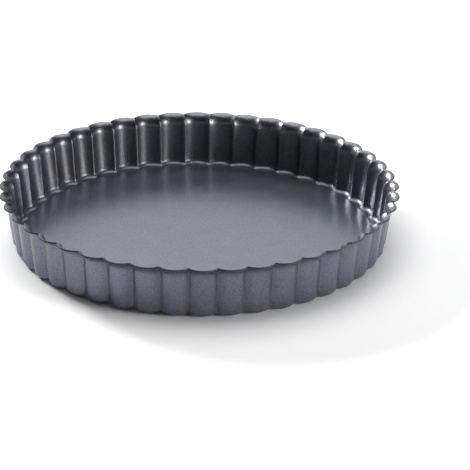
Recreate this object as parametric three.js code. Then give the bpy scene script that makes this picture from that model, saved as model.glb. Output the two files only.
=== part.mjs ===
// A fluted tart tin: a fluted ring of coated sheet steel, and the loose round base that lies on its ledge.
// Millimetres, +Z up. The origin is on the tin's axis, on the surface that the tin stands on.
import * as THREE from "three";

// Driving dimensions: the whole tin
const rimDiameter = 250;
const tinHeight = 34.5;
const sheetThickness = 1;
const wallTaperDegrees = 7;

// Driving dimensions: the flutes, wide lobes that meet in tight grooves on the outside and deepen upwards
const fluteCount = 44;
const topFluteDepth = 3.4;
const footFluteDepth = 2.5;
const grooveRadius = 0.5;

// Driving dimensions: the flare and lip at the top, and the bend and ledge at the bottom
const lipReach = 4.5;
const lipRiseDegrees = 28;
const lipBendRadius = 7;
const bottomBendRadius = 3.5;
const ledgeOverlap = 8;

// Driving dimensions: the loose base
const baseThickness = 1;
const baseSideClearance = 0.5;

// How finely the curves are cut into flat facets
const lobeSteps = 2;
const notchSteps = 1;
const bottomBendSteps = 2;
const lipBendSteps = 3;
const baseSides = 88;

// The slopes of the wall and the lip, and the centre that the wide flare between them turns about
const taper = THREE.MathUtils.degToRad(wallTaperDegrees);
const lipRise = THREE.MathUtils.degToRad(lipRiseDegrees);
const lipEdgeHeight = sheetThickness * Math.cos(lipRise);
const lipEdgeWidth = sheetThickness * Math.sin(lipRise);
const lipCentreOffset = lipBendRadius * Math.cos(taper);
const lipFlat = lipReach - lipCentreOffset + lipBendRadius * Math.sin(lipRise);
const lipCentreHeight = tinHeight - lipEdgeHeight - lipFlat * Math.tan(lipRise) - lipBendRadius * Math.cos(lipRise);

// The radius to the top of a lobe on the wall's outer face at any height
const wallTop = lipCentreHeight + lipBendRadius * Math.sin(taper);
const wallTopRadius = rimDiameter / 2 - lipReach;
const crestRadiusAt = (height) => wallTopRadius - (wallTop - height) * Math.tan(taper);

// The bend from the wall to the ledge turns about one centre for both faces of the sheet
const outerBendRadius = bottomBendRadius + sheetThickness;
const wallFoot = outerBendRadius * (1 - Math.sin(taper));
const wallFootRadius = crestRadiusAt(wallFoot);
const ledgeOffset = -outerBendRadius * Math.cos(taper);

// Columns of points round the ring: each half of a flute has some on its lobe and some in its groove
const halfPitch = Math.PI / fluteCount;
const halfColumns = lobeSteps + notchSteps;
const fluteColumns = 2 * halfColumns;
const ringColumns = fluteCount * fluteColumns;

// The circles that draw one flute in plan, moved out or in from the wall's outer face by offset.
// A lobe and its neighbour groove touch on the line through their centres.
function flutePlan(crestRadius, offset) {
  const rise = (crestRadius - wallFootRadius) / (wallTopRadius - wallFootRadius);
  const fluteDepth = THREE.MathUtils.lerp(footFluteDepth, topFluteDepth, Math.min(rise, 1));
  const grooveCentre = crestRadius - fluteDepth + grooveRadius;
  const grooveCentreAlong = grooveCentre * Math.cos(halfPitch);
  const lobeRadius = (crestRadius ** 2 + grooveCentre ** 2 - 2 * crestRadius * grooveCentreAlong - grooveRadius ** 2)
    / (2 * (crestRadius - grooveCentreAlong + grooveRadius));
  const lobeCentre = crestRadius - lobeRadius;
  const notchRadius = grooveRadius - offset;
  const centreDistance = lobeRadius + offset + notchRadius;
  const across = lobeCentre * Math.sin(halfPitch);
  const notchCentre = lobeCentre * Math.cos(halfPitch) + Math.sqrt(centreDistance ** 2 - across ** 2);
  return { lobeCentre, lobeRadius: lobeRadius + offset, notchCentre, notchRadius };
}

// A point on one flute's plan curve. Step 0 is the top of the lobe, and the last steps are the grooves beside it.
function flutePoint(crestRadius, offset, step) {
  const { lobeCentre, lobeRadius, notchCentre, notchRadius } = flutePlan(crestRadius, offset);
  const notchX = notchCentre * Math.cos(halfPitch);
  const notchY = notchCentre * Math.sin(halfPitch);
  const lobeTurn = Math.atan2(notchY, notchX - lobeCentre);
  const away = Math.abs(step);
  const point = new THREE.Vector2();
  if (away <= lobeSteps) {
    const angle = (lobeTurn * away) / lobeSteps;
    point.set(lobeCentre + lobeRadius * Math.cos(angle), lobeRadius * Math.sin(angle));
  } else {
    const share = (away - lobeSteps) / notchSteps;
    const angle = Math.PI + THREE.MathUtils.lerp(lobeTurn, halfPitch, share);
    point.set(notchX + notchRadius * Math.cos(angle), notchY + notchRadius * Math.sin(angle));
  }
  point.y *= Math.sign(step);
  return point;
}

// The radius of the wall's inward ridges where the bend runs out into the flat ledge
function ridgeRadiusAtLedge() {
  const { notchCentre, notchRadius } = flutePlan(wallFootRadius, ledgeOffset);
  return notchCentre - notchRadius;
}

const baseRadius = ridgeRadiusAtLedge() - baseSideClearance;
const ledgeHoleRadius = baseRadius - ledgeOverlap;

// Stations on the bottom bend, from the ledge up to the wall, on the face with the given bend radius
function bottomBend(radius) {
  const turn = Math.PI / 2 - taper;
  return Array.from({ length: bottomBendSteps + 1 }, (_, index) => {
    const angle = (turn * index) / bottomBendSteps;
    const offset = ledgeOffset + radius * Math.sin(angle);
    const height = outerBendRadius - radius * Math.cos(angle);
    return { crestRadius: wallFootRadius, offset, height };
  });
}

// A station above the wall. Outside the wall's outer face the flutes move out whole, so the rim keeps their depth.
function lipStation(offset, height) {
  return { crestRadius: wallTopRadius + Math.max(offset, 0), offset: Math.min(offset, 0), height };
}

// Stations on the flare, from the wall up to the lip, on the face with the given bend radius
function lipBend(radius) {
  return Array.from({ length: lipBendSteps + 1 }, (_, index) => {
    const angle = THREE.MathUtils.lerp(taper, Math.PI / 2 - lipRise, index / lipBendSteps);
    return lipStation(lipCentreOffset - radius * Math.cos(angle), lipCentreHeight + radius * Math.sin(angle));
  });
}

// The sheet's section through the top of a lobe, once round: under the ledge, up the outside, over the lip's edge,
// down the inside and back to the ledge's hole
function ringSection() {
  return [
    { holeRadius: ledgeHoleRadius, height: 0 },
    ...bottomBend(outerBendRadius),
    ...lipBend(lipBendRadius),
    lipStation(lipReach, tinHeight - lipEdgeHeight),
    lipStation(lipReach - lipEdgeWidth, tinHeight),
    ...lipBend(lipBendRadius + sheetThickness).reverse(),
    ...bottomBend(bottomBendRadius).reverse(),
    { holeRadius: ledgeHoleRadius, height: sheetThickness },
  ];
}

// Where one station of the section lies at one column round the ring
function ringPoint(station, column) {
  const flute = Math.floor(column / fluteColumns);
  const step = (column % fluteColumns) - halfColumns;
  const turn = 2 * halfPitch * flute;
  if (station.holeRadius !== undefined) {
    const angle = flutePoint(wallFootRadius, ledgeOffset, step).angle() + turn;
    const x = station.holeRadius * Math.cos(angle);
    const y = station.holeRadius * Math.sin(angle);
    return new THREE.Vector3(x, y, station.height);
  }
  const plan = flutePoint(station.crestRadius, station.offset, step).rotateAround(new THREE.Vector2(), turn);
  return new THREE.Vector3(plan.x, plan.y, station.height);
}

// The ring is its section turned once about the axis, with each point then moved onto the flutes
function flutedRing() {
  const section = ringSection();
  const closed = [...section, section[0]];
  const profile = closed.map((station) => {
    const radius = station.holeRadius ?? station.crestRadius + station.offset;
    return new THREE.Vector2(radius, station.height);
  });
  const geometry = new THREE.LatheGeometry(profile, ringColumns);
  const position = geometry.attributes.position;
  for (let column = 0; column <= ringColumns; column += 1) {
    closed.forEach((station, index) => {
      const point = ringPoint(station, column % ringColumns);
      position.setXYZ(column * closed.length + index, point.x, point.y, point.z);
    });
  }
  geometry.computeVertexNormals();
  return geometry;
}

// The base is a plain disc of sheet that lies on the ledge
function looseBase() {
  const underside = sheetThickness;
  const topside = underside + baseThickness;
  const profile = [
    new THREE.Vector2(0, underside),
    new THREE.Vector2(baseRadius, underside),
    new THREE.Vector2(baseRadius, topside),
    new THREE.Vector2(0, topside),
  ];
  const geometry = new THREE.LatheGeometry(profile, baseSides);
  geometry.rotateX(Math.PI / 2);
  return geometry;
}

// Dark non-stick coatings: the wall is darker than the floor, which catches more light
const wallCoating = new THREE.MeshStandardMaterial({ color: 0x4c4d54, roughness: 0.42, metalness: 0.35 });
const floorCoating = new THREE.MeshStandardMaterial({ color: 0x57595f, roughness: 0.34, metalness: 0.35 });

const ring = new THREE.Mesh(flutedRing(), wallCoating);
ring.name = "fluted_ring";

const base = new THREE.Mesh(looseBase(), floorCoating);
base.name = "loose_base";

const tin = new THREE.Group();
tin.name = "fluted_tart_tin";
tin.add(ring, base);

export default tin;
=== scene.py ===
# %% [markdown]
# A fluted tart tin is two pieces of coated sheet steel: a fluted ring with a flared rim and an inner
# ledge, and a loose round base that lies on that ledge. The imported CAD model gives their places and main
# sizes. Its solids could be shown as they are, but their curves are cut into flat facets. So this script
# builds finer meshes in the same places, gives them the looks of their coats, and sets up table, light
# and camera.

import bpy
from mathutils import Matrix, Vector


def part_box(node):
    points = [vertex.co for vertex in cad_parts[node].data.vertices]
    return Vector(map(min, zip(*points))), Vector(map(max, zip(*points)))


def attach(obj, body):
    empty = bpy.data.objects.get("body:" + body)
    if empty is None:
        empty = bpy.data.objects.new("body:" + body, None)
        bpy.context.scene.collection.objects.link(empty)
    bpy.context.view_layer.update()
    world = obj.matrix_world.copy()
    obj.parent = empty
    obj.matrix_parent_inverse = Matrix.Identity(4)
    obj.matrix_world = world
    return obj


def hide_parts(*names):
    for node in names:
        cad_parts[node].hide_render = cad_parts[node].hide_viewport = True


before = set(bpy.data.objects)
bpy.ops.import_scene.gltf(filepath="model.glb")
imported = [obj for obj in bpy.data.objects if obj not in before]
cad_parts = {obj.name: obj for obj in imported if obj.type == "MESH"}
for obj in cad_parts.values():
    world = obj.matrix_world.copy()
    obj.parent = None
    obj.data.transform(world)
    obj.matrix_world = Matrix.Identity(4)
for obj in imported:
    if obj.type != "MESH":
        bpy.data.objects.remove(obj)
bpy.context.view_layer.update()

# %% Sizes read from the frame
import math

import bmesh
import bpy
from mathutils import Matrix, Vector

mm = 0.001
ring_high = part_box("fluted_ring")[1]
base_low, base_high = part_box("loose_base")
rim_radius = ring_high.x
tin_height = ring_high.z
sheet = base_low.z
base_radius = base_high.x
print("rim radius, height, sheet, base radius:", rim_radius, tin_height, sheet, base_radius)

# %% [markdown]
# The camera stands far off with a long lens, as product photographs are taken, so the far rim looks
# almost as wide as the near one. It looks down at the tin by about 23 degrees. The camera is placed by
# its direction from the middle of the rim, and then aimed a little to the right and below that point,
# because the tin lies left of and above the middle of the picture. Shifting the lens would frame it too,
# but aiming keeps the other views centred.

# %% Where the camera stands and looks
camera_distance = 1.4
camera_elevation = math.radians(23.35)
camera_turn = math.radians(-1.16)
camera_roll = math.radians(0.5)
aim_right = 22.02 * mm
aim_down = 31.3 * mm

rim_centre = Vector((0, 0, tin_height))
backward = Vector((
    math.sin(camera_turn) * math.cos(camera_elevation),
    -math.cos(camera_turn) * math.cos(camera_elevation),
    math.sin(camera_elevation),
))
level_right = Vector((math.cos(camera_turn), math.sin(camera_turn), 0))
level_up = backward.cross(level_right)
right = level_right * math.cos(camera_roll) + level_up * math.sin(camera_roll)
up = level_up * math.cos(camera_roll) - level_right * math.sin(camera_roll)

position = rim_centre + backward * camera_distance
target = rim_centre + right * aim_right - up * aim_down
print("camera at", [round(value, 3) for value in position])

# %% The camera
camera_lens = 171.57
camera_sensor = 36
camera_far_limit = 100

view_z = (position - target).normalized()
view_x = up.cross(view_z).normalized()
view_y = view_z.cross(view_x)
turned = Matrix((view_x, view_y, view_z)).transposed().to_4x4()

camera_data = bpy.data.cameras.new("camera")
camera_data.lens = camera_lens
camera_data.sensor_width = camera_sensor
camera_data.clip_end = camera_far_limit
camera = bpy.data.objects.new("camera", camera_data)
camera.matrix_world = Matrix.Translation(position) @ turned
bpy.context.scene.collection.objects.link(camera)
bpy.context.scene.camera = camera
bpy.context.scene.view_settings.view_transform = "Standard"
print("camera looks along", [round(-value, 3) for value in view_z])

# %% [markdown]
# Materials and Geometry Nodes are both trees of nodes. They could be drawn by hand in the node editor, but
# a script makes the same tree every time. One small function adds a node: keyword settings go on the node
# itself, and each entry of the dictionary goes to a socket, as a link if it is another node's output and
# as a plain value if it is not. Colours are written as the sRGB hex values that a paint program shows, and
# one function turns them into the linear numbers that the renderer works in.

# %% Helpers for nodes and colours
def add_node(tree, kind, sockets=None, **settings):
    node = tree.nodes.new(kind)
    for name, value in settings.items():
        setattr(node, name, value)
    for name, value in (sockets or {}).items():
        if isinstance(value, bpy.types.NodeSocket):
            tree.links.new(value, node.inputs[name])
        else:
            node.inputs[name].default_value = value
    return node


def linear(hex_colour):
    channels = [int(hex_colour[start:start + 2], 16) / 255 for start in (1, 3, 5)]
    straight = [c / 12.92 if c <= 0.04045 else ((c + 0.055) / 1.055) ** 2.4 for c in channels]
    return (*straight, 1)


print("mid grey #808080 is", [round(value, 3) for value in linear("#808080")])

# %% [markdown]
# The ring is one sheet. From the bottom up it has a flat ledge, a round bend, a sloping wall and a wide
# flare that ends in a cut edge. A bend could be a bevel of one size on both faces of the sheet, but then
# its thickness would change there. So both faces turn about one centre, each with its own radius. The
# sizes here are those that the CAD solids follow, and the rest is worked out from them.

# %% Sizes of the ring's sheet
wall_taper = math.radians(7)
lip_reach = 4.5 * mm
lip_rise = math.radians(28)
lip_bend = 7 * mm
bottom_bend = 3.5 * mm
ledge_overlap = 8 * mm

lip_edge_height = sheet * math.cos(lip_rise)
lip_centre_offset = lip_bend * math.cos(wall_taper)
lip_flat = lip_reach - lip_centre_offset + lip_bend * math.sin(lip_rise)
lip_under_edge = tin_height - lip_edge_height
lip_centre_height = lip_under_edge - lip_flat * math.tan(lip_rise) - lip_bend * math.cos(lip_rise)
wall_top = lip_centre_height + lip_bend * math.sin(wall_taper)
wall_top_radius = rim_radius - lip_reach
outer_bend = bottom_bend + sheet
wall_foot = outer_bend * (1 - math.sin(wall_taper))
wall_foot_radius = wall_top_radius - (wall_top - wall_foot) * math.tan(wall_taper)
ledge_offset = -outer_bend * math.cos(wall_taper)
hole_radius = base_radius - ledge_overlap
print("wall from", round(wall_foot / mm, 2), "to", round(wall_top / mm, 2), "mm high")
print("hole in the ledge, radius in mm:", round(hole_radius / mm, 2))

# %% [markdown]
# The flutes follow a rule. Seen from above, each flute is a wide round lobe, and neighbouring lobes meet
# in a tight groove. A lobe and a groove are two circles that touch, so the wall never has a corner. The
# inner face of the sheet is the same curve moved in by the sheet's thickness, which makes the lobe's
# circle smaller and the groove's larger. A displacement texture could give waves too, but the two circles
# keep the sheet's true thickness and the tight groove.

# %% The two circles of a flute
flute_count = 44
top_flute_depth = 3.4 * mm
foot_flute_depth = 2.5 * mm
groove_radius = 0.5 * mm
half_pitch = math.pi / flute_count


def flute_plan(crest_radius, offset):
    rise = min((crest_radius - wall_foot_radius) / (wall_top_radius - wall_foot_radius), 1)
    flute_depth = foot_flute_depth + (top_flute_depth - foot_flute_depth) * rise
    groove_centre = crest_radius - flute_depth + groove_radius
    along = groove_centre * math.cos(half_pitch)
    square_gap = crest_radius ** 2 + groove_centre ** 2 - 2 * crest_radius * along - groove_radius ** 2
    lobe_radius = square_gap / (2 * (crest_radius - along + groove_radius))
    lobe_centre = crest_radius - lobe_radius
    notch_radius = groove_radius - offset
    centre_distance = lobe_radius + offset + notch_radius
    across = lobe_centre * math.sin(half_pitch)
    notch_centre = lobe_centre * math.cos(half_pitch) + math.sqrt(centre_distance ** 2 - across ** 2)
    return lobe_centre, lobe_radius + offset, notch_centre, notch_radius


print("lobe radius at the wall's top, mm:", round(flute_plan(wall_top_radius, 0)[1] / mm, 2))

# %% A point on a flute's curve
# Step 0 is the top of the lobe, and the last steps on either side are the grooves beside it.
lobe_steps = 7
notch_steps = 4


def flute_point(crest_radius, offset, step):
    lobe_centre, lobe_radius, notch_centre, notch_radius = flute_plan(crest_radius, offset)
    notch_x = notch_centre * math.cos(half_pitch)
    notch_y = notch_centre * math.sin(half_pitch)
    lobe_turn = math.atan2(notch_y, notch_x - lobe_centre)
    away = abs(step)
    if away <= lobe_steps:
        angle = lobe_turn * away / lobe_steps
        x = lobe_centre + lobe_radius * math.cos(angle)
        y = lobe_radius * math.sin(angle)
    else:
        share = (away - lobe_steps) / notch_steps
        angle = math.pi + lobe_turn + (half_pitch - lobe_turn) * share
        x = notch_x + notch_radius * math.cos(angle)
        y = notch_y + notch_radius * math.sin(angle)
    return Vector((x, math.copysign(y, step), 0))


print("top of a lobe at the wall's top:", list(flute_point(wall_top_radius, 0, 0)))

# %% [markdown]
# The sheet's section could be one curve swept round the axis, but the flutes get deeper upwards, so it is
# a list of stations instead. Each station says how far out the flutes reach there, how far it lies from
# the wall's outer face, how high it is, and which coat it wears: 0 inside, 1 on the cut edge, 2 outside.
# Bends and cut edges are arcs. The list goes once round the sheet, up the outside, over the edge and down
# the inside, so that the mesh closes on itself. A station on the ledge also says how far it has been
# pulled in towards the round hole.

# %% Stations on the bends and the wall
bottom_bend_steps = 9
lip_bend_steps = 9
wall_steps = 6
upright = math.pi / 2
inside_number = 0.0
edge_number = 1.0
outside_number = 2.0


def between(start, end, steps):
    return [start + (end - start) * index / steps for index in range(steps + 1)]


def station(crest, offset, height, coat, pull=0.0, hole=hole_radius):
    return {"crest": crest, "offset": offset, "height": height, "coat": coat, "pull": pull, "hole": hole}


def bottom_bend_stations(radius, coat):
    rows = []
    for angle in between(0, upright - wall_taper, bottom_bend_steps):
        offset = ledge_offset + radius * math.sin(angle)
        rows.append(station(wall_foot_radius, offset, outer_bend - radius * math.cos(angle), coat))
    return rows


# Outside the wall's outer face the flutes move out whole, so the rim keeps their depth.
def lip_station(offset, height, coat):
    return station(wall_top_radius + max(offset, 0), min(offset, 0), height, coat)


def lip_bend_stations(radius, coat):
    rows = []
    for angle in between(wall_taper, upright - lip_rise, lip_bend_steps):
        offset = lip_centre_offset - radius * math.cos(angle)
        rows.append(lip_station(offset, lip_centre_height + radius * math.sin(angle), coat))
    return rows


def wall_stations(low, high, coat):
    rows = []
    for share in between(0, 1, wall_steps)[1:-1]:
        mixed = {key: low[key] + (high[key] - low[key]) * share for key in ("crest", "offset", "height")}
        rows.append(station(coat=coat, **mixed))
    return rows


outer_foot = bottom_bend_stations(outer_bend, outside_number)
outer_lip = lip_bend_stations(lip_bend, outside_number)
inner_foot = bottom_bend_stations(bottom_bend, inside_number)
inner_lip = lip_bend_stations(lip_bend + sheet, inside_number)
print("stations on each bend:", len(outer_foot), "at the foot and", len(outer_lip), "at the flare")

# %% Stations on the cut edges and the ledge
lip_edge_width = sheet * math.sin(lip_rise)
lip_edge_round = 0.2 * mm
hole_edge_round = 0.3 * mm
edge_steps = 3
ledge_steps = 3


def lip_edge_stations():
    along = Vector((math.cos(lip_rise), math.sin(lip_rise))) * lip_edge_round
    across = Vector((-math.sin(lip_rise), math.cos(lip_rise))) * lip_edge_round
    under = Vector((lip_reach, lip_under_edge)) - along + across
    top = Vector((lip_reach - lip_edge_width, tin_height)) - along - across
    rows = []
    for middle, start in ((under, lip_rise - upright), (top, lip_rise)):
        for angle in between(start, start + upright, edge_steps):
            offset = middle.x + lip_edge_round * math.cos(angle)
            height = middle.y + lip_edge_round * math.sin(angle)
            rows.append(lip_station(offset, height, edge_number))
    return rows


def hole_edge_stations():
    rows = []
    for middle, start in ((sheet - hole_edge_round, upright), (hole_edge_round, math.pi)):
        for angle in between(start, start + upright, edge_steps):
            radius = hole_radius + hole_edge_round * (1 + math.cos(angle))
            height = middle + hole_edge_round * math.sin(angle)
            rows.append(station(wall_foot_radius, ledge_offset, height, outside_number, 1.0, radius))
    return rows


def ledge_stations(height, coat):
    pulls = between(1, 0, ledge_steps)[1:-1]
    return [station(wall_foot_radius, ledge_offset, height, coat, pull) for pull in pulls]


section = [
    *ledge_stations(0.0, outside_number),
    *outer_foot,
    *wall_stations(outer_foot[-1], outer_lip[0], outside_number),
    *outer_lip,
    *lip_edge_stations(),
    *inner_lip[::-1],
    *wall_stations(inner_lip[0], inner_foot[-1], inside_number),
    *inner_foot[::-1],
    *ledge_stations(sheet, inside_number)[::-1],
    *hole_edge_stations(),
]
print("stations round the sheet:", len(section))

# %% [markdown]
# Only one flute is meshed: a grid of points, with the stations one way and the columns across the flute
# the other way. All the flutes could be meshed in one go, but they are alike, so Geometry Nodes repeat
# this one round the axis. The mesh also carries the coat's number on each point, as an attribute, so that
# the three coats can be told apart later.

# %% One flute
def station_point(row, step):
    point = flute_point(row["crest"], row["offset"], step)
    length = point.length
    point *= (length + (row["hole"] - length) * row["pull"]) / length
    point.z = row["height"]
    return point


def make_one_flute():
    half = lobe_steps + notch_steps
    columns = range(-half, half + 1)
    points = [station_point(row, step) for row in section for step in columns]
    width = len(columns)
    faces = []
    for row in range(len(section)):
        next_row = (row + 1) % len(section)
        for column in range(width - 1):
            low = row * width + column
            high = next_row * width + column
            faces.append((low, low + 1, high + 1, high))
    mesh = bpy.data.meshes.new("one_flute")
    mesh.from_pydata(points, [], faces)
    numbers = mesh.attributes.new("coat", "FLOAT", "POINT")
    numbers.data.foreach_set("value", [row["coat"] for row in section for step in columns])
    return mesh


one_flute = make_one_flute()
print("one flute:", len(one_flute.vertices), "points,", len(one_flute.polygons), "faces")

# %% [markdown]
# The coats are baked enamels, sprayed dark grey onto steel. Fine metal flakes lie in most of them, so a
# rough metal is the shader's base there, and where the coat is thick a clear skin lies over the flakes. A
# painted image could give the looks too, but noise at real sizes works from every side. Sprayed coats are
# never mirror smooth: the droplets flow together into a faint orange peel about a millimetre across, the
# spray builds up in uneven patches, and the flakes make a soft speckle. Hands and cloths polish the
# flared rim, so there the inside coat is smoother.

# %% Sizes in the coats
# Flakes are about 0.1 mm across. They are drawn at 0.9 mm, because finer ones would not show.
flake_size = 0.9 * mm
patch_size = 14 * mm
patch_share = 0.3
mottle_low = 0.4
mottle_high = 0.9
peel_size = 1.1 * mm
thick_coat_peel = 0.006 * mm
thin_coat_peel = 0.008 * mm
print("flakes", flake_size / mm, "mm, patches", patch_size / mm, "mm, orange peel", peel_size / mm, "mm")


# %% A sprayed coat, and the one inside the ring
def make_coat(
        name, dark, light, metallic, roughness, peel_height, clear=0.0, clear_rough=0.3, rim_polish=None):
    material = bpy.data.materials.new(name)
    material.use_nodes = True
    tree = material.node_tree
    tree.nodes.clear()
    place = add_node(tree, "ShaderNodeTexCoord").outputs["Object"]
    flakes = add_node(tree, "ShaderNodeTexNoise", {"Vector": place, "Scale": 1 / flake_size, "Detail": 2.0})
    patches = add_node(tree, "ShaderNodeTexNoise", {"Vector": place, "Scale": 1 / patch_size, "Detail": 3.0})
    mottle = add_node(tree, "ShaderNodeMath", {
        0: patches.outputs["Fac"], 1: patch_share, 2: flakes.outputs["Fac"]}, operation="MULTIPLY_ADD")
    spread = add_node(tree, "ShaderNodeMapRange", {
        "Value": mottle.outputs[0], "From Min": mottle_low, "From Max": mottle_high,
        "To Min": 0.0, "To Max": 1.0})
    # A colour mix has its factor at socket 0, its two colours at 6 and 7 and its result at output 2.
    colour = add_node(tree, "ShaderNodeMix", {
        0: spread.outputs[0], 6: linear(dark), 7: linear(light)}, data_type="RGBA")
    rough = add_node(tree, "ShaderNodeMapRange", {
        "Value": mottle.outputs[0], "From Min": mottle_low, "From Max": mottle_high,
        "To Min": roughness[0], "To Max": roughness[1]})
    if rim_polish is not None:
        height = add_node(tree, "ShaderNodeSeparateXYZ", {"Vector": place}).outputs["Z"]
        polish = add_node(tree, "ShaderNodeMapRange", {
            "Value": height, "From Min": wall_top, "From Max": tin_height,
            "To Min": 1.0, "To Max": rim_polish})
        rough = add_node(tree, "ShaderNodeMath", {
            0: rough.outputs[0], 1: polish.outputs[0]}, operation="MULTIPLY")
    peel = add_node(tree, "ShaderNodeTexNoise", {"Vector": place, "Scale": 1 / peel_size, "Detail": 1.0})
    bump = add_node(tree, "ShaderNodeBump", {
        "Height": peel.outputs["Fac"], "Distance": peel_height, "Strength": 1.0})
    shader = add_node(tree, "ShaderNodeBsdfPrincipled", {
        "Base Color": colour.outputs[2],
        "Metallic": metallic,
        "Roughness": rough.outputs[0],
        "Coat Weight": clear,
        "Coat Roughness": clear_rough,
        "Normal": bump.outputs["Normal"],
    })
    add_node(tree, "ShaderNodeOutputMaterial", {"Surface": shader.outputs["BSDF"]})
    return material


# The thick satin coat blurs lights into streaks in the flutes and leaves the rest of the wall dark.
inside_coat = make_coat(
    "satin_nonstick_enamel", "#585a5f", "#707278", metallic=0.95, roughness=(0.37, 0.45),
    peel_height=thick_coat_peel, clear=0.3, clear_rough=0.25, rim_polish=0.72)
print("coat inside the ring:", inside_coat.name)

# %% The other coats
# The thin coat outside has no clear skin: it shows an even, slightly violet grey with dark grooves.
outside_coat = make_coat(
    "thin_metallic_enamel", "#616370", "#7b7d8b", metallic=0.8, roughness=(0.27, 0.35),
    peel_height=thin_coat_peel)
# The cut edge gets a dark, matt coat that shows no metal: a thin dark line along the rim.
edge_coat = make_coat(
    "matt_enamel_on_cut_edge", "#2b2d33", "#383a41", metallic=0.0, roughness=(0.55, 0.65),
    peel_height=thick_coat_peel)
# The flat base takes the satin coat more evenly: it is smoother, and mirrors the far wall softly.
floor_coat = make_coat(
    "satin_nonstick_enamel_floor", "#5d626d", "#797e89", metallic=0.85, roughness=(0.31, 0.37),
    peel_height=thick_coat_peel, clear=0.7, clear_rough=0.22)
print("other coats:", outside_coat.name, edge_coat.name, floor_coat.name)

# %% [markdown]
# To repeat the flute, a tree of Geometry Nodes makes one bare point for each flute, puts a copy of the
# flute on each, and turns each copy a little further round the axis. An Array modifier could do it too,
# but the tree keeps its sizes as named inputs. Copies are only instances, so they are realized, and the
# points where neighbours meet are welded. Every face starts with the inside coat. The tree then sets the
# coat of the cut edge and that of the outside, by the number that the points carry.

# %% A tree that repeats the flute round the axis
def make_repeat_tree():
    tree = bpy.data.node_groups.new("repeat_flute_round_axis", "GeometryNodeTree")
    sockets = tree.interface
    sockets.new_socket("Geometry", in_out="OUTPUT", socket_type="NodeSocketGeometry")
    sockets.new_socket("Flute", in_out="INPUT", socket_type="NodeSocketGeometry")
    sockets.new_socket("Flute Count", in_out="INPUT", socket_type="NodeSocketInt")
    sockets.new_socket("Weld Distance", in_out="INPUT", socket_type="NodeSocketFloat")
    sockets.new_socket("Edge Coat", in_out="INPUT", socket_type="NodeSocketMaterial")
    sockets.new_socket("Outside Coat", in_out="INPUT", socket_type="NodeSocketMaterial")
    given = add_node(tree, "NodeGroupInput").outputs
    points = add_node(tree, "GeometryNodeMeshLine", {"Count": given["Flute Count"], "Offset": (0, 0, 0)})
    pitch = add_node(tree, "ShaderNodeMath", {0: math.tau, 1: given["Flute Count"]}, operation="DIVIDE")
    index = add_node(tree, "GeometryNodeInputIndex")
    angle = add_node(tree, "ShaderNodeMath", {
        0: index.outputs[0], 1: pitch.outputs[0]}, operation="MULTIPLY")
    turn = add_node(tree, "ShaderNodeCombineXYZ", {"Z": angle.outputs[0]})
    copies = add_node(tree, "GeometryNodeInstanceOnPoints", {
        "Points": points.outputs["Mesh"], "Instance": given["Flute"], "Rotation": turn.outputs[0]})
    solid = add_node(tree, "GeometryNodeRealizeInstances", {"Geometry": copies.outputs["Instances"]})
    welded = add_node(tree, "GeometryNodeMergeByDistance", {
        "Geometry": solid.outputs["Geometry"], "Distance": given["Weld Distance"]})
    coated = add_node(tree, "GeometryNodeSetShadeSmooth", {"Geometry": welded.outputs["Geometry"]})
    number = add_node(tree, "GeometryNodeInputNamedAttribute", {"Name": "coat"}, data_type="FLOAT")
    inside_limit = (inside_number + edge_number) / 2
    edge_limit = (edge_number + outside_number) / 2
    for limit, coat in ((inside_limit, "Edge Coat"), (edge_limit, "Outside Coat")):
        above = add_node(tree, "FunctionNodeCompare", {
            0: number.outputs[0], 1: limit}, operation="GREATER_THAN")
        coated = add_node(tree, "GeometryNodeSetMaterial", {
            "Geometry": coated.outputs[0], "Selection": above.outputs[0], "Material": given[coat]})
    add_node(tree, "NodeGroupOutput", {"Geometry": coated.outputs[0]})
    return tree


repeat_tree = make_repeat_tree()
print("nodes in the tree:", len(repeat_tree.nodes))

# %% The ring as a plain mesh
weld_distance = 0.01 * mm


def made_plain(source, tree, values):
    modifier = source.modifiers.new(tree.name, "NODES")
    modifier.node_group = tree
    for item in tree.interface.items_tree:
        if item.name in values:
            modifier[item.identifier] = values[item.name]
    bpy.context.view_layer.update()
    graph = bpy.context.evaluated_depsgraph_get()
    mesh = bpy.data.meshes.new_from_object(source.evaluated_get(graph))
    source.modifiers.clear()
    source.data = mesh


one_flute.materials.append(inside_coat)
ring = bpy.data.objects.new("coated_fluted_ring", one_flute)
bpy.context.scene.collection.objects.link(ring)
made_plain(ring, repeat_tree, {
    "Flute Count": flute_count,
    "Weld Distance": weld_distance,
    "Edge Coat": edge_coat,
    "Outside Coat": outside_coat,
})
print("ring:", len(ring.data.vertices), "points,", len(ring.data.polygons), "faces")
print("coats on the ring:", [coat.name for coat in ring.data.materials])

# %% [markdown]
# The loose base is a plain disc cut from the same sheet. Its edge is rounded a little by the coat. A
# cylinder with a bevel would do, but a disc is also easy to spin: a short profile from the axis out over
# the edge and back, turned once round the axis. The flat faces are cut into rings, so that the smooth
# shading of the rounded edge does not spread far over the floor.

# %% The loose base
base_edge_round = 0.3 * mm
base_sides = 276
base_rings = 8


def base_profile():
    top = base_high.z
    under = base_low.z
    inner = base_radius - base_edge_round
    rows = [(radius, under) for radius in between(0, inner, base_rings)]
    for middle, start in ((under + base_edge_round, -upright), (top - base_edge_round, 0)):
        for angle in between(start, start + upright, edge_steps):
            radius = inner + base_edge_round * math.cos(angle)
            rows.append((radius, middle + base_edge_round * math.sin(angle)))
    rows.extend((radius, top) for radius in between(inner, 0, base_rings))
    return rows


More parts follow.
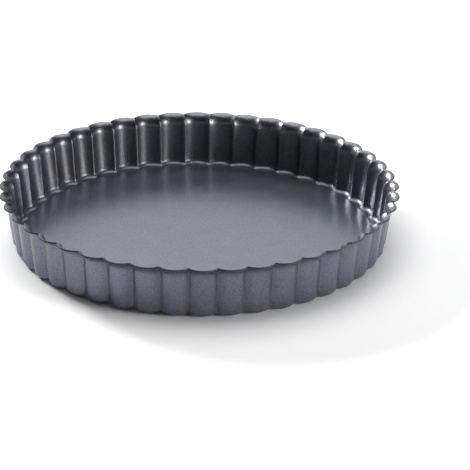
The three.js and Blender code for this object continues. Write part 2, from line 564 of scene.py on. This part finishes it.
def make_base():
    shape = bmesh.new()
    profile = [shape.verts.new((radius, 0, height)) for radius, height in base_profile()]
    edges = [shape.edges.new(pair) for pair in zip(profile[:-1], profile[1:])]
    bmesh.ops.spin(
        shape, geom=profile + edges, axis=(0, 0, 1), cent=(0, 0, 0), angle=math.tau, steps=base_sides,
        use_merge=True)
    bmesh.ops.remove_doubles(shape, verts=shape.verts, dist=weld_distance)
    bmesh.ops.recalc_face_normals(shape, faces=shape.faces)
    for face in shape.faces:
        face.smooth = True
    mesh = bpy.data.meshes.new("coated_loose_base")
    shape.to_mesh(mesh)
    shape.free()
    mesh.materials.append(floor_coat)
    return mesh


base = bpy.data.objects.new("coated_loose_base", make_base())
bpy.context.scene.collection.objects.link(base)
print("base:", len(base.data.vertices), "points,", len(base.data.polygons), "faces")

# %% [markdown]
# The pieces now take the place of the CAD solids. They could be keyed by hand for each pose, but a piece
# that rides on a body moves with it. The ring stays with the body that stands on the table, and the base
# rides on the body that lifts out.

# %% Seat the pieces on their bodies
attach(ring, "ring")
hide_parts("fluted_ring")
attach(base, "base")
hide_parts("loose_base")
print("seated:", ring.name, "and", base.name)

# %% [markdown]
# The tin stands on white paper in a dim studio. The paper takes the tin's shadow and throws light up at
# the wall. More lamps could make the background white, but they would bleach the tin. Instead the paper
# glows where the camera looks at it: hardly at all near the tin, where the shadow has to stay, and up to
# full white further off. Above the horizon lies a white strip, as if the paper curved up there.
# Reflections show this white too, as metal mirrors what stands around it, but diffuse light does not see
# it. The paper lies a hair below the tin, or the two faces would share one plane.

# %% Paper that glows where it is seen
white = linear("#ffffff")
white_level = 1.0
near_glow = 0.015
glow_start = 0.4
glow_full = 1.4


# This is 1 for what the camera, a shiny surface or a clear one looks at, and 0 for diffuse light.
def seen_directly(tree):
    path = add_node(tree, "ShaderNodeLightPath").outputs
    first = add_node(tree, "ShaderNodeMath", {
        0: path["Is Camera Ray"], 1: path["Is Glossy Ray"]}, operation="MAXIMUM")
    both = add_node(tree, "ShaderNodeMath", {
        0: first.outputs[0], 1: path["Is Transmission Ray"]}, operation="MAXIMUM")
    return both.outputs[0]


def make_paper():
    material = bpy.data.materials.new("white_paper_sweep")
    material.use_nodes = True
    tree = material.node_tree
    tree.nodes.clear()
    paper = add_node(tree, "ShaderNodeBsdfDiffuse", {"Color": linear("#fcfcfc")})
    place = add_node(tree, "ShaderNodeTexCoord").outputs["Object"]
    distance = add_node(tree, "ShaderNodeVectorMath", {0: place}, operation="LENGTH")
    whiter = add_node(tree, "ShaderNodeMapRange", {
        "Value": distance.outputs["Value"], "From Min": glow_start, "From Max": glow_full,
        "To Min": near_glow, "To Max": white_level}, interpolation_type="SMOOTHSTEP")
    glow_level = add_node(tree, "ShaderNodeMath", {
        0: seen_directly(tree), 1: whiter.outputs[0]}, operation="MULTIPLY")
    glow = add_node(tree, "ShaderNodeEmission", {"Color": white, "Strength": glow_level.outputs[0]})
    both = add_node(tree, "ShaderNodeAddShader", {0: paper.outputs[0], 1: glow.outputs[0]})
    add_node(tree, "ShaderNodeOutputMaterial", {"Surface": both.outputs[0]})
    return material


# Matt paper gives a soft shadow with no gloss of its own.
white_paper = make_paper()
print(white_paper.name, "is full white beyond", glow_full, "m")

# %% The table
table_size = 30
table_gap = 0.05 * mm


def make_table():
    half = table_size / 2
    level = -table_gap
    corners = [(-half, -half, level), (half, -half, level), (half, half, level), (-half, half, level)]
    mesh = bpy.data.meshes.new("table")
    mesh.from_pydata(corners, [], [(0, 1, 2, 3)])
    mesh.materials.append(white_paper)
    return bpy.data.objects.new("table", mesh)


table = make_table()
bpy.context.scene.collection.objects.link(table)
print("table", table_size, "m wide")

# %% The dim studio
ambient_level = 0.03
sweep_top = math.radians(6.5)
sweep_end = math.radians(8)


def make_studio():
    world = bpy.data.worlds.new("dim_studio_with_white_sweep")
    world.use_nodes = True
    tree = world.node_tree
    tree.nodes.clear()
    direction = add_node(tree, "ShaderNodeTexCoord").outputs["Generated"]
    height = add_node(tree, "ShaderNodeSeparateXYZ", {"Vector": direction}).outputs["Z"]
    sweep = add_node(tree, "ShaderNodeMapRange", {
        "Value": height, "From Min": math.sin(sweep_top), "From Max": math.sin(sweep_end),
        "To Min": white_level, "To Max": ambient_level})
    # A number mix has its factor at socket 0 and its two numbers at 2 and 3.
    level = add_node(tree, "ShaderNodeMix", {
        0: seen_directly(tree), 2: ambient_level, 3: sweep.outputs[0]}, data_type="FLOAT")
    studio = add_node(tree, "ShaderNodeBackground", {"Color": white, "Strength": level.outputs[0]})
    add_node(tree, "ShaderNodeOutputWorld", {"Surface": studio.outputs[0]})
    return world


bpy.context.scene.world = make_studio()
print("ambient level", ambient_level)

# %% [markdown]
# The light is a studio's. One large lamp could light the tin, but metal shows what it mirrors, so each
# lamp has its own job. A small strong one behind on the left throws the soft shadow to the front right
# and puts the bright dots on the right of the rim. A large box overhead keeps the paper white and fills
# in the shadow. A wide box behind stands where the flat floor mirrors it to the camera, and gives the
# floor its sheen. A box low at the front right is what the far flutes mirror as streaks, and it thins the
# shadow. A lamp's level is its brightness as a surface, where 1 is white.

# %% Soft boxes
def add_soft_box(name, azimuth, elevation, distance, width, height, level):
    data = bpy.data.lights.new(name, "AREA")
    data.shape = "RECTANGLE"
    data.size = width
    data.size_y = height
    data.energy = level * math.pi * width * height
    lamp = bpy.data.objects.new(name, data)
    flat = math.cos(math.radians(elevation))
    direction = Vector((
        flat * math.cos(math.radians(azimuth)),
        flat * math.sin(math.radians(azimuth)),
        math.sin(math.radians(elevation)),
    ))
    lamp.location = direction * distance
    lamp.rotation_mode = "QUATERNION"
    lamp.rotation_quaternion = direction.to_track_quat("Z", "Y")
    bpy.context.scene.collection.objects.link(lamp)
    print(name, "gives", round(data.energy, 1), "watts")


add_soft_box(
    "lamp_back_left", azimuth=134, elevation=27, distance=1.6, width=0.34, height=0.24, level=100.0)
add_soft_box(
    "soft_box_overhead", azimuth=95, elevation=76, distance=1.6, width=1.7, height=1.7, level=2.75)
add_soft_box(
    "soft_box_behind", azimuth=90, elevation=23, distance=2.2, width=2.4, height=0.9, level=1.1)
add_soft_box(
    "soft_box_front_right", azimuth=-24, elevation=14, distance=1.6, width=0.42, height=0.55, level=24.0)
